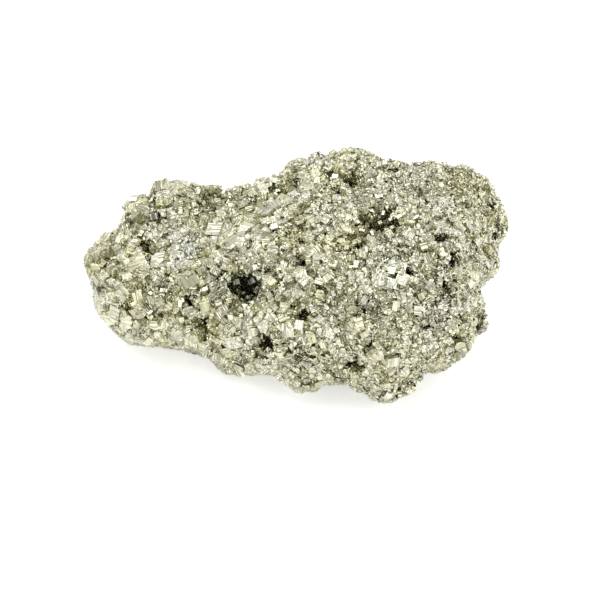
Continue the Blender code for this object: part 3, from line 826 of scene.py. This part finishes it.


# Single crystals that stand out: pixel across and down of the face, its length and height in pixels, the
# angle of its length, where it faces, its form, then its tone, its hue (0 silver, 0.5 brass, 0.9 yellow) and
# its etching. The tone is partly painted light and shade: near 1 on the white glints, low on faces in shade.
singles = [
    (97, 261, 14, 16, 80, "sky", "pyritohedron", 0.8, 0.7, 0),
    (104, 247, 19, 11, -8, "sky", "stepped", 0.65, 0.7, 0.2),
    (106, 255, 17, 7, -10, "eye", "cube", 0.3, 0.7, 0),
    (103, 263, 10, 7, 60, "white", "striated", 0.9, 0.6, 0),
    (98, 289, 8, 8, 20, "eye", "cube", 0.4, 0.3, 0.2),
    (113, 258, 6, 3, 20, "white", "cube", 0.85, 0.6, 0),
    (106, 277, 6, 3, 10, "white", "cube", 0.95, 0.5, 0),
    (132, 199, 14, 8, 0, "white", "chamfered", 1, 0.35, 0),
    (131, 207, 15, 14, 0, "sky", "striated", 0.6, 0.6, 0),
    (142, 201, 12, 12, 0, "sky", "chamfered", 0.5, 0.88, 0),
    (154, 216, 9, 7, 10, "eye", "cube", 0.2, 0.4, 0),
    (151, 231, 12, 7, 80, "sky", "chamfered", 0.75, 0.6, 0),
    (155, 229, 9, 2, 85, "white", "cube", 1, 0.4, 0),
    (141, 233, 9, 5, 70, "white", "striated", 0.85, 0.6, 0),
    (160, 201, 12, 11, 10, "sky", "chamfered", 0.65, 0.75, 0.4),
    (166, 203, 6, 6, 30, "eye", "cube", 0.45, 0.85, 0.1),
    (197, 191, 9, 8, -20, "sky", "striated", 0.75, 0.5, 0.3),
    (212, 193, 4, 5, 20, "white", "cube", 0.95, 0.4, 0),
    (248, 187, 14, 5, -15, "sky", "cube", 0.65, 0.6, 0.2),
    (234, 190, 10, 5, 0, "sky", "cube", 0.6, 0.6, 0.2),
    (225, 192, 12, 9, 10, "sky", "chamfered", 0.6, 0.6, 0.3),
    (228, 190, 9, 7, -30, "sky", "cube", 0.6, 0.5, 0.4),
    (275, 181, 7, 5, -10, "white", "cube", 0.95, 0.5, 0),
    (278, 190, 6, 4, 15, "white", "cube", 0.9, 0.5, 0),
    (196, 211, 9, 6, 100, "white", "chamfered", 0.85, 0.2, 0.6),
    (203, 205, 9, 4, 0, "sky", "striated", 0.8, 0.6, 0),
    (274, 226, 9, 8, 15, "white", "cube", 1, 0.3, 0),
    (271, 245, 9, 10, 20, "sky", "roofed", 0.85, 0.3, 0.2),
    (203, 249, 11, 8, 0, "sky", "striated", 0.85, 0.6, 0),
    (143, 276, 11, 10, 70, "sky", "chamfered", 0.7, 0.6, 0.3),
    (158, 277, 10, 11, -40, "sky", "stepped", 0.7, 0.4, 0.5),
    (149, 285, 4, 8, 110, "sky", "cube", 0.9, 0.5, 0),
    (164, 290, 10, 5, -10, "white", "striated", 0.9, 0.4, 0),
    (150, 293, 4, 5, 60, "white", "cube", 0.9, 0.5, 0),
    (139, 291, 6, 4, 30, "white", "cube", 0.95, 0.5, 0),
    (130, 299, 9, 4, 40, "sky", "cube", 0.7, 0.7, 0),
    (120, 301, 5, 5, 20, "white", "cube", 1, 0.4, 0),
    (125, 308, 12, 5, 85, "sky", "cube", 0.8, 0.6, 0),
    (140, 309, 9, 9, 20, "sky", "chamfered", 0.65, 0.65, 0),
    (150, 312, 8, 4, 40, "white", "cube", 1, 0.35, 0),
    (157, 298, 9, 9, 30, "sky", "stepped", 0.75, 0.5, 0.4),
    (154, 324, 12, 10, -15, "sky", "pyritohedron", 0.95, 0.55, 0),
    (142, 320, 9, 6, -40, "eye", "cube", 0.4, 0.7, 0),
    (180, 304, 8, 4, 90, "white", "cube", 1, 0.4, 0),
    (175, 305, 11, 6, 90, "sky", "striated", 0.75, 0.6, 0),
    (172, 318, 5, 5, 10, "white", "cube", 1, 0.4, 0),
    (181, 319, 7, 6, 10, "white", "chamfered", 1, 0.4, 0),
    (188, 327, 9, 6, 10, "white", "chamfered", 0.95, 0.5, 0),
    (165, 316, 5, 3, 30, "white", "cube", 0.9, 0.5, 0),
    (204, 289, 10, 5, 20, "white", "cube", 0.95, 0.5, 0),
    (201, 281, 8, 8, 25, "sky", "chamfered", 0.7, 0.7, 0.2),
    (216, 271, 10, 12, 60, "eye", "chamfered", 0.6, 0.5, 0.3),
    (203, 302, 16, 12, -75, "sky", "striated", 0.75, 0.65, 0),
    (196, 336, 12, 12, -30, "sky", "roofed", 0.85, 0.55, 0.3),
    (233, 263, 8, 13, 80, "sky", "stepped", 0.65, 0.7, 0.3),
    (218, 300, 9, 5, 10, "sky", "chamfered", 0.8, 0.4, 0.1),
    (228, 299, 7, 7, 20, "sky", "chamfered", 0.7, 0.6, 0.1),
    (255, 267, 7, 6, 20, "white", "cube", 1, 0.1, 0),
    (263, 273, 11, 6, -60, "white", "cube", 0.9, 0, 0),
    (271, 282, 12, 9, 125, "sky", "striated", 0.8, 0.65, 0),
    (282, 284, 7, 4, 110, "white", "cube", 0.9, 0.5, 0),
    (293, 238, 13, 12, 20, "sky", "stepped", 0.8, 0.7, 0.6),
    (287, 329, 15, 13, 0, "white", "striated", 0.95, 0.25, 0),
    (301, 326, 11, 13, -10, "white", "cube", 1, 0.2, 0),
    (335, 176, 8, 7, -15, "white", "cube", 0.95, 0.4, 0),
    (333, 264, 10, 9, -25, "white", "cube", 1, 0.3, 0),
    (320, 290, 10, 8, -15, "sky", "pyritohedron", 0.8, 0.68, 0.1),
    (356, 264, 10, 6, 80, "white", "cube", 0.95, 0.4, 0),
    (392, 270, 10, 9, 80, "white", "cube", 1, 0.3, 0),
    (424, 246, 10, 9, 105, "white", "striated", 1, 0.4, 0),
    (401, 215, 13, 4, 38, "white", "striated", 1, 0.4, 0),
    (416, 217, 9, 3, 42, "white", "cube", 0.95, 0.4, 0),
    (397, 241, 5, 9, 20, "white", "striated", 0.95, 0.4, 0),
    (379, 164, 5, 7, 0, "white", "striated", 0.95, 0.3, 0),
    (385, 162, 6, 7, 0, "white", "cube", 1, 0.2, 0),
    (379, 196, 9, 5, 20, "white", "cube", 0.95, 0.3, 0),
    (320, 195, 4, 6, 60, "white", "cube", 1, 0.4, 0),
    (350, 305, 12, 12, 0, "sky", "stepped", 0.7, 0.6, 0.5),
    (359, 322, 12, 9, -75, "sky", "striated", 0.85, 0.6, 0),
    (337, 340, 7, 6, 10, "white", "cube", 1, 0.2, 0),
    (360, 347, 5, 7, 60, "white", "cube", 0.95, 0.5, 0),
    (349, 254, 13, 7, -10, "sky", "striated", 0.65, 0.7, 0.1),
    (448, 271, 9, 10, -20, "sky", "chamfered", 0.65, 0.4, 0.1),
    (452, 274, 8, 2, 30, "white", "cube", 1, 0.4, 0),
    (458, 341, 12, 10, 20, "sky", "roofed", 0.8, 0.6, 0),
    (436, 364, 20, 13, 0, "sky", "chamfered", 0.7, 0.65, 0.5),
    (421, 292, 7, 6, 30, "sky", "cube", 0.8, 0.7, 0),
    (484, 328, 10, 14, 0, "right", "chamfered", 0.45, 0.25, 0),
    (480, 330, 6, 8, 70, "eye", "cube", 0.1, 0.2, 0),
    (468, 339, 4, 4, 10, "white", "cube", 1, 0.4, 0),
    (490, 213, 10, 10, 10, "sky", "chamfered", 0.3, 0.75, 0.5),
    (489, 247, 9, 9, 0, "sky", "pyritohedron", 0.7, 0.8, 0.2),
    (477, 263, 5, 4, 20, "white", "cube", 0.95, 0.4, 0),
    (492, 272, 9, 8, 10, "sky", "chamfered", 0.7, 0.6, 0.2),
    (462, 333, 7, 8, 20, "sky", "chamfered", 0.75, 0.6, 0.2),
    (435, 232, 6, 3, 110, "white", "striated", 0.95, 0.3, 0),
    (415, 345, 6, 4, 20, "white", "cube", 1, 0.4, 0),
    (380, 222, 5, 5, 30, "white", "cube", 1, 0.2, 0),
    (372, 233, 7, 3, 110, "white", "cube", 0.95, 0.2, 0),
    (362, 230, 7, 3, -20, "white", "cube", 0.85, 0.4, 0),
    (383, 214, 6, 3, 80, "white", "cube", 0.95, 0.3, 0),
    (367, 221, 4, 4, 30, "sky", "cube", 0.8, 0.4, 0),
    (390, 219, 4, 4, 30, "white", "cube", 0.9, 0.4, 0),
    (240, 293, 11, 6, -20, "eye", "cube", 0.8, 0.2, 0),
    (252, 281, 8, 6, 30, "eye", "cube", 0.6, 0.1, 0),
    (257, 290, 8, 5, 60, "eye", "cube", 0.7, 0.2, 0),
    (246, 274, 7, 5, -30, "eye", "cube", 0.5, 0.2, 0),
    (236, 282, 8, 6, 15, "eye", "cube", 0.55, 0.2, 0),
    (265, 281, 7, 6, -50, "sky", "cube", 0.95, 0.1, 0),
    (245, 287, 5, 4, 50, "sky", "cube", 0.9, 0.2, 0),
    (249, 297, 7, 4, 10, "eye", "cube", 0.7, 0.3, 0),
    (358, 222, 4, 4, 30, "white", "cube", 0.9, 0.4, 0),
    (366, 227, 5, 4, -20, "white", "shard", 1, 0.4, 0),
    (371, 231, 4, 4, 50, "white", "shard", 0.9, 0.4, 0),
    (376, 214, 5, 4, 10, "sky", "shard", 0.9, 0.4, 0),
    (386, 223, 4, 4, 70, "white", "shard", 1, 0.4, 0),
    (392, 227, 5, 4, 20, "sky", "cube", 0.85, 0.4, 0),
    (352, 232, 5, 4, -30, "sky", "cube", 0.8, 0.4, 0),
    (359, 240, 5, 4, 15, "white", "shard", 0.9, 0.4, 0),
    (387, 207, 4, 4, 40, "white", "cube", 0.95, 0.4, 0),
    (380, 231, 4, 4, 5, "white", "shard", 0.9, 0.4, 0),
    (274, 184, 4, 3, 15, "white", "shard", 0.95, 0.4, 0),
    (284, 188, 4, 4, 35, "sky", "shard", 0.95, 0.5, 0),
    (292, 183, 5, 3, 10, "white", "shard", 0.9, 0.5, 0),
    (300, 222, 8, 5, 15, "sky", "cube", 0.8, 0.6, 0.2),
    (319, 330, 5, 5, 15, "white", "cube", 0.95, 0.4, 0),
    (386, 384, 8, 6, 10, "sky", "cube", 0.8, 0.6, 0.2),
    (378, 380, 5, 4, 50, "white", "cube", 0.95, 0.5, 0),
    (306, 387, 9, 6, -20, "sky", "chamfered", 0.7, 0.6, 0.4),
]


# How the single crystals stand. Size is the share of the listed one, and sway is how far
# one turns from where it faces.
standing = {
    "white": {"size": 0.76, "sway": 0.05, "etch": 0.05, "age": 0.15},
    "other": {"size": 0.88, "sway": 0.18, "etch": 0.15, "age": 0.5},
    "mirrors": {                # what each facing shows: a lamp, or a place in the sky or in front
        "white": "topBox", "right": "rightBox", "sky": (-0.25, 0.9, 0.55), "eye": (0.05, -0.75, 0.66),
    },
    "proud": 0.35 * mm,         # of the skin
    "slopeProud": 0.35,         # and more where the skin slopes, as a share of half its size
    "leastDepth": 1.2 * mm,
    "underSkin": 0.2,           # share of its depth by which its middle is under the skin
    "deepVug": 3.5,             # mm; in a vug this deep it stands on the vug's own floor
    "lift": (1.0, 2.0),         # mm above that floor
    "rooted": 0.9 * mm,         # and under it
    "pastOutline": 1.5,         # pixels
    "topShows": ("stepped", "roofed", "chamfered", "wedge", "pyritohedron"),    # and a side of the rest
}


def halfway(place):
    # The normal of a face that mirrors that place to the eye: halfway between the two.
    direction = np.array(place) / np.linalg.norm(place)
    return (direction + toEye) / np.linalg.norm(direction + toEye)


def skinUnder(skin, x, y):
    # Where the pixel's ray meets the skin, or else a ray a little nearer the middle.
    for inward in np.linspace(0, 0.3, 31):
        at = (x + (outlineMiddle[0] - x) * inward, y + (outlineMiddle[1] - y) * inward)
        place, normal, _, distance = skin.ray_cast(Vector(eye), Vector(pixelRay(*at)))
        if place:
            return np.array(normal), distance


def growSingles(ground, random):
    # Middle = eye + ray x (distance to the skin - proud) - face x depth / 2, where face is
    # the normal of the facet that shows.
    faces = [list(polygon.vertices) for polygon in ground.polygons]
    skin = BVHTree.FromPolygons(skinPlaces.tolist(), faces)
    floors = BVHTree.FromPolygons(meshArrays(ground)[0].tolist(), faces)
    lamps = {name: place for name, place, _, _ in studio["lamps"]}
    facings = {name: halfway(lamps.get(place, place)) for name, place in standing["mirrors"].items()}
    deepVugs = [vug for vug in vugs if vug[4] > standing["deepVug"]]
    groups = {}
    for x, y, wide, tall, angle, facing, form, tone, hue, etch in singles:
        own = standing["white" if facing == "white" else "other"]
        normal, distance = skinUnder(skin, x, y)
        inVug = any(((x - v[0]) / v[2]) ** 2 + ((y - v[1]) / v[3]) ** 2 < 0.8 for v in deepVugs)
        face = facings[facing] + random.normal(0, standing["white"]["sway"] if inVug else own["sway"], 3)
        face /= np.linalg.norm(face)
        lean = math.radians(angle)
        axis = viewRight * math.cos(lean) + viewUp * math.sin(lean)
        axis -= face * (axis @ face)
        axis /= np.linalg.norm(axis)
        slope = math.sqrt(max(0, 1 - min(1, abs(face @ normal)) ** 2))
        size = own["size"] * np.array([wide, tall]) * pixelStep
        deep = max(size.min(), 0.5 * size.max(), standing["leastDepth"])
        proud = standing["proud"] + standing["slopeProud"] * size.min() / 2 * slope
        if inVug:
            # A column that stands on the vug's floor.
            proud = random.uniform(*standing["lift"]) * mm
            distance = floors.ray_cast(Vector(eye), Vector(pixelRay(x, y)))[3]
            deep = proud + standing["rooted"]
        middlePlace = eye + pixelRay(x, y) * (distance - proud) - face * deep / 2
        if form in standing["topShows"]:
            columns, edges = (axis, np.cross(face, axis), face), (size[0], size[1], deep)
        else:
            columns, edges = (face, np.cross(axis, face), axis), (deep, size[1], size[0])
        if not inVug:
            # Its middle stays under the skin, so that it grows out of the mass from any side.
            nearest, outward, _, _ = skin.find_nearest(Vector(middlePlace))
            above = (middlePlace - np.array(nearest)) @ np.array(outward) + standing["underSkin"] * deep
            middlePlace -= np.array(outward) * max(0, above)
        group = groups.setdefault(form, {key: [] for key in ("middles", "turns", "edges", *faceLabels)})
        group["middles"].append(middlePlace)
        group["turns"].append(np.stack(columns, axis=1))
        group["edges"].append(edges)
        age = standing["other"]["age"] if form == "striated" else own["age"]
        for label, value in zip(faceLabels, (tone, age, etch + own["etch"], hue, 0.0)):
            group[label].append(value)
    for form, group in groups.items():
        group.update({key: np.array(value) for key, value in group.items()}, form=form)
    return list(groups.values())


random = np.random.default_rng(seed)
pieces = []
for layerName, layer in crystals.items():
    groups = drawBack(growLayer(layer, groundPiece.data, random), growth["pastOutline"])
    parts = layer.get("pieces", 1)
    for part in range(parts):
        name = layerName + (str(part + 1) if parts > 1 else "")
        pieces.append(crystalPiece(name, slices(groups, part, parts), random))
groups = drawBack(growSingles(groundPiece.data, random), standing["pastOutline"])
pieces.append(crystalPiece("singleCrystals", groups, random))


# The material of the crystals. Every crystal and facet brings its own tone, hue, age and etching.
pyriteLook = {
    "hues": {
        0: (0.72, 0.715, 0.62, 1),      # silver
        1: (0.52, 0.38, 0.19, 1),       # rust
        0.9: (0.68, 0.64, 0.34, 1),     # yellow
        0.5: (0.70, 0.695, 0.53, 1),    # brass
    },
    "tones": (0.55, 1.11),              # darkest and brightest
    "roughness": (0.04, 0.20),          # fresh and old
    # The painted shade in recesses: its colour, how near other crystals must be, and how strong it is.
    "recessShade": (0.25, 0.245, 0.13, 1),
    "recessReach": 0.9 * mm,            # how near other crystals must be to shade a recess
    "recessAmount": 0.62,
    "streakStretch": (0.10, 2.1, 1),    # long streaks: few along the facet, many across it
    "streakDepth": 0.3 * mm,
    "bandTones": (0.60, 1.16),
    "etchTilt": 1.3,
    "cellScale": 2600,                  # etched cells in a metre
    "cellTones": (0.74, 1.24),
    "seamScale": 850,                   # small grains within a facet, in a metre
    "seamWidth": 0.09,                  # as a share of such a grain
    "seamTone": 0.48,
    "seamBend": (900, 0.6 * mm),        # waves in a metre, and how far they push the seams
}
groundLook = {
    "tones": {0.35: (0.20, 0.195, 0.12, 1), 0.7: (0.55, 0.54, 0.40, 1)},
    "scale": 900,                       # grains in a metre
    "metallic": 0.7,
    "roughness": 0.5,
    "bump": (0.8, 0.3 * mm),            # strength and depth
}


def newMaterial(name):
    # A new material, with its node tree and its shader.
    material = bpy.data.materials.new(name)
    material.use_nodes = True
    return material, material.node_tree, material.node_tree.nodes["Principled BSDF"]


def link(tree, value, socket):
    # Joins an output to a socket, or sets the socket to a plain value.
    if isinstance(value, bpy.types.NodeSocket):
        tree.links.new(value, socket)
    else:
        socket.default_value = value


def newNode(tree, kind, inputs, **settings):
    # A node with its settings, and its inputs linked or set, by name or number.
    node = tree.nodes.new("ShaderNode" + kind)
    for label, value in settings.items():
        setattr(node, label, value)
    for label, value in inputs.items():
        link(tree, value, node.inputs[label])
    return node


def valueOf(tree, name):
    # What the faces carry under that name.
    return newNode(tree, "Attribute", {}, attribute_name=name).outputs["Fac"]


def coordinates(tree, kind):
    # Where the shaded point is, by the object or by the direction it is seen in.
    return newNode(tree, "TexCoord", {}).outputs[kind]


def noiseNode(tree, place, scale, detail):
    # Smooth noise with that many waves in a unit of place.
    return newNode(tree, "TexNoise", {"Vector": place, "Scale": scale, "Detail": detail})


def mapped(tree, source, fromRange, toRange, **settings):
    # The source carried from one range to the other, and held at its ends.
    inputs = {"Value": source, "From Min": fromRange[0], "From Max": fromRange[1]}
    inputs.update({"To Min": toRange[0], "To Max": toRange[1]})
    return newNode(tree, "MapRange", inputs, **settings).outputs["Result"]


def calculated(tree, how, first, second):
    # Two numbers joined that way.
    return newNode(tree, "Math", {0: first, 1: second}, operation=how).outputs["Value"]


def mixed(tree, factor, first, second, how="MIX"):
    # first x (1 - factor) + (first and second joined that way) x factor.
    inputs = {0: factor, 6: first, 7: second}
    return newNode(tree, "Mix", inputs, data_type="RGBA", blend_type=how).outputs[2]


def colourRamp(tree, source, stops):
    # Colours by place from 0 to 1. The first two stops take the ramp's own two ends.
    ramp = newNode(tree, "ValToRGB", {"Fac": source})
    elements = ramp.color_ramp.elements
    for number, (position, colour) in enumerate(stops.items()):
        if number < 2:
            elements[number].position = position
            elements[number].color = colour
        else:
            elements.new(position).color = colour
    return ramp.outputs["Color"]


def etchedMetal(tree, metal, cells, place):
    # Etched cells differ a little in tone, and dark seams run between small grains.
    parts = newNode(tree, "SeparateColor", {"Color": cells})
    cellTone = mapped(tree, parts.outputs["Green"], (0, 1), pyriteLook["cellTones"])
    waves, push = pyriteLook["seamBend"]
    swirl = noiseNode(tree, place, waves, 1).outputs["Color"]
    bent = mixed(tree, push, place, swirl, "ADD")
    inputs = {"Vector": bent, "Scale": pyriteLook["seamScale"]}
    seams = newNode(tree, "TexVoronoi", inputs, feature="DISTANCE_TO_EDGE").outputs["Distance"]
    seamTone = mapped(tree, seams, (0, pyriteLook["seamWidth"]), (pyriteLook["seamTone"], 1))
    textured = mixed(tree, 1, metal, calculated(tree, "MULTIPLY", cellTone, seamTone), "MULTIPLY")
    return mixed(tree, mapped(tree, valueOf(tree, "etch"), (0.1, 0.6), (0, 1)), metal, textured)


def bandedMetal(tree, metal, streaks):
    # Bands of tone along the striations, on facets that are smooth and not fresh.
    bands = mapped(tree, streaks, (0.38, 0.62), pyriteLook["bandTones"])
    smooth = mapped(tree, valueOf(tree, "etch"), (0.15, 0.55), (1, 0))
    old = mapped(tree, valueOf(tree, "age"), (0.15, 0.40), (0, 1))
    striped = mixed(tree, 1, metal, bands, "MULTIPLY")
    return mixed(tree, calculated(tree, "MULTIPLY", smooth, old), metal, striped)


# Painted shade: the colour goes towards a dark olive where ambient occlusion finds other crystals near, in
# the gaps between them and in the vugs, and where the faces carry painted shade.
def shadedRecessMetal(tree, metal):
    # Dirt gathers in the gaps between crystals and in the vugs.
    near = newNode(tree, "AmbientOcclusion", {"Distance": pyriteLook["recessReach"]}, samples=4)
    hidden = mapped(tree, near.outputs["AO"], (0.05, 0.62), (pyriteLook["recessAmount"], 0))
    share = calculated(tree, "MAXIMUM", hidden, valueOf(tree, "dark"))
    return mixed(tree, share, metal, pyriteLook["recessShade"])


def leaningNormal(tree, streaks, cells):
    # The streaks are a low bump, and each etched cell of the surface leans its own way.
    bump = newNode(tree, "Bump", {"Strength": 1, "Distance": pyriteLook["streakDepth"], "Height": streaks})
    centred = newNode(tree, "VectorMath", {0: cells, 1: (0.5, 0.5, 0.5)}, operation="SUBTRACT")
    amount = mapped(tree, valueOf(tree, "etch"), (0, 1), (0, pyriteLook["etchTilt"]))
    inputs = {0: centred.outputs["Vector"], "Scale": amount}
    lean = newNode(tree, "VectorMath", inputs, operation="SCALE").outputs["Vector"]
    total = newNode(tree, "VectorMath", {0: bump.outputs["Normal"], 1: lean}, operation="ADD")
    unit = newNode(tree, "VectorMath", {0: total.outputs["Vector"]}, operation="NORMALIZE")
    return unit.outputs["Vector"]


def crystalMaterial():
    # Colour = hue's colour x tone x etched cells x bands, mixed towards the dark colour of the painted shade.
    material, tree, shader = newMaterial("pyriteCrystal")
    place = coordinates(tree, "Object")
    cells = newNode(tree, "TexVoronoi", {"Vector": place, "Scale": pyriteLook["cellScale"]}).outputs["Color"]
    facet = newNode(tree, "UVMap", {}, uv_map="facet").outputs["UV"]
    stretched = newNode(tree, "Mapping", {"Vector": facet, "Scale": pyriteLook["streakStretch"]})
    streaks = noiseNode(tree, stretched.outputs["Vector"], 1, 1).outputs["Fac"]
    tone = mapped(tree, valueOf(tree, "tone"), (0, 1), pyriteLook["tones"])
    metal = colourRamp(tree, valueOf(tree, "hue"), pyriteLook["hues"])
    metal = mixed(tree, 1, metal, tone, "MULTIPLY")
    metal = etchedMetal(tree, metal, cells, place)
    metal = bandedMetal(tree, metal, streaks)
    rough = mapped(tree, valueOf(tree, "age"), (0, 1), pyriteLook["roughness"])
    link(tree, shadedRecessMetal(tree, metal), shader.inputs["Base Color"])
    link(tree, rough, shader.inputs["Roughness"])
    link(tree, 1, shader.inputs["Metallic"])
    link(tree, leaningNormal(tree, streaks, cells), shader.inputs["Normal"])
    return material


def groundMaterial():
    # Dark and light grains by noise, which is their bump too. The dark ground is partly painted shade in the
    # gaps between the crystals.
    material, tree, shader = newMaterial("pyriteGround")
    grain = noiseNode(tree, coordinates(tree, "Object"), groundLook["scale"], 4).outputs["Fac"]
    strength, depth = groundLook["bump"]
    bump = newNode(tree, "Bump", {"Strength": strength, "Distance": depth, "Height": grain})
    link(tree, colourRamp(tree, grain, groundLook["tones"]), shader.inputs["Base Color"])
    link(tree, groundLook["metallic"], shader.inputs["Metallic"])
    link(tree, groundLook["roughness"], shader.inputs["Roughness"])
    link(tree, bump.outputs["Normal"], shader.inputs["Normal"])
    return material


crystalLook = crystalMaterial()
for piece in pieces:
    piece.data.materials.append(crystalLook)
groundPiece.data.materials.append(groundMaterial())
print("materials made")


def makeFloor():
    # A square at the height of the resting plane.
    half = studio["floorSize"] / 2
    corners = [(-half, -half, 0), (half, -half, 0), (half, half, 0), (-half, half, 0)]
    mesh = bpy.data.meshes.new("floor")
    mesh.from_pydata(corners, [], [(0, 1, 2, 3)])
    floor = bpy.data.objects.new("floor", mesh)
    scene.collection.objects.link(floor)
    material, tree, shader = newMaterial("paleFloor")
    path = newNode(tree, "LightPath", {})
    glow = mapped(tree, path.outputs["Is Camera Ray"], (0, 1), studio["floorGlow"])
    look = {
        "Base Color": studio["floorColour"], "Roughness": studio["floorRough"],
        "Specular IOR Level": studio["floorShine"],
        "Emission Color": (1, 1, 1, 1), "Emission Strength": glow,
    }
    for label, value in look.items():
        link(tree, value, shader.inputs[label])
    mesh.materials.append(material)


def makeWorld():
    # White of uneven strength round the specimen, less of it from the front, and a plain
    # white backdrop to the camera.
    world = bpy.data.worlds.new("studio")
    scene.world = world
    world.use_nodes = True
    tree = world.node_tree
    place = coordinates(tree, "Generated")
    ahead = newNode(tree, "VectorMath", {0: place, 1: toEye}, operation="DOT_PRODUCT").outputs["Value"]
    front = mapped(tree, ahead, studio["frontAngles"], (1, studio["front"]), interpolation_type="SMOOTHSTEP")
    uneven = noiseNode(tree, place, studio["skyPatches"], 1).outputs["Fac"]
    light = calculated(tree, "MULTIPLY", mapped(tree, uneven, (0.35, 0.65), studio["sky"]), front)
    path = newNode(tree, "LightPath", {})
    inputs = {"Factor": path.outputs["Is Camera Ray"], "A": light, "B": studio["backdrop"]}
    link(tree, (1, 1, 1, 1), tree.nodes["Background"].inputs["Color"])
    link(tree, newNode(tree, "Mix", inputs).outputs["Result"], tree.nodes["Background"].inputs["Strength"])


def makeLamps():
    # The power of a square lamp is pi x its area x the brightness of its face.
    for name, place, size, brightness in studio["lamps"]:
        data = bpy.data.lights.new(name, "AREA")
        data.shape = "SQUARE"
        data.size = size
        data.energy = math.pi * size**2 * brightness
        lamp = bpy.data.objects.new(name, data)
        scene.collection.objects.link(lamp)
        lamp.location = place
        towards = Vector(boxMiddle) - Vector(place)
        lamp.rotation_mode = "QUATERNION"
        lamp.rotation_quaternion = towards.to_track_quat("-Z", "Y")


makeFloor()
makeWorld()
makeLamps()
scene.view_settings.view_transform = "Standard"
print("studio set")


# Every piece rides on the root body, and the ground stands in for the CAD mass.
for piece in pieces + [groundPiece]:
    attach(piece, "root")
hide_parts("pyrite_cluster")
